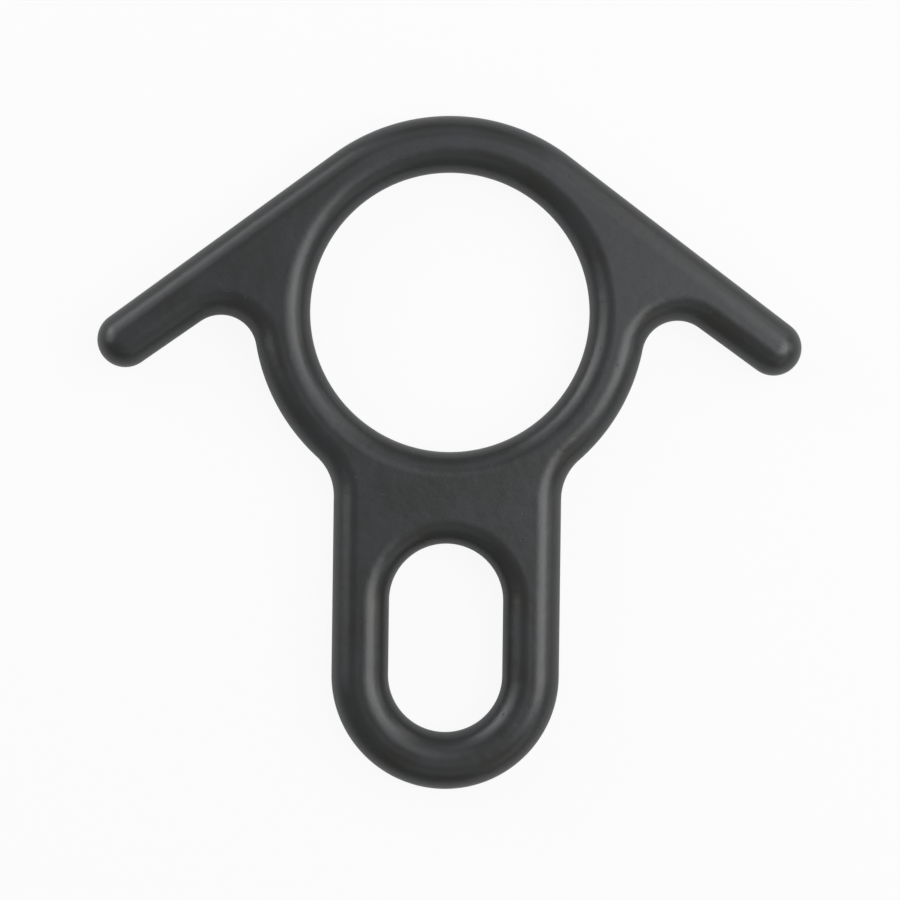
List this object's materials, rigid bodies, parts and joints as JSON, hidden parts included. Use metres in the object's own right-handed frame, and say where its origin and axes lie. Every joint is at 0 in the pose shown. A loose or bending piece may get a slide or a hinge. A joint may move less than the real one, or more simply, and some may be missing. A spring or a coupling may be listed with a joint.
{
  "type": "figure eight descender",
  "caption": "One-piece rescue figure eight descender: a large rope ring with two rope ears, a shank with a long carabiner eye, and rounded edges all over.",
  "frame": {"origin": "on the back face, under the centre of the outline box, where the descender lies flat on a surface", "axes": "+X across the two ears, +Y from the carabiner eye to the rope ring, +Z out of the front face"},
  "size_m": [0.1674, 0.16, 0.0132],
  "materials": {
    "anodised_aluminium": "hard-anodised, dark grey, satin"
  },
  "bodies": {
    "root": {"descender_body": "anodised_aluminium"}
  },
  "joints": []
}
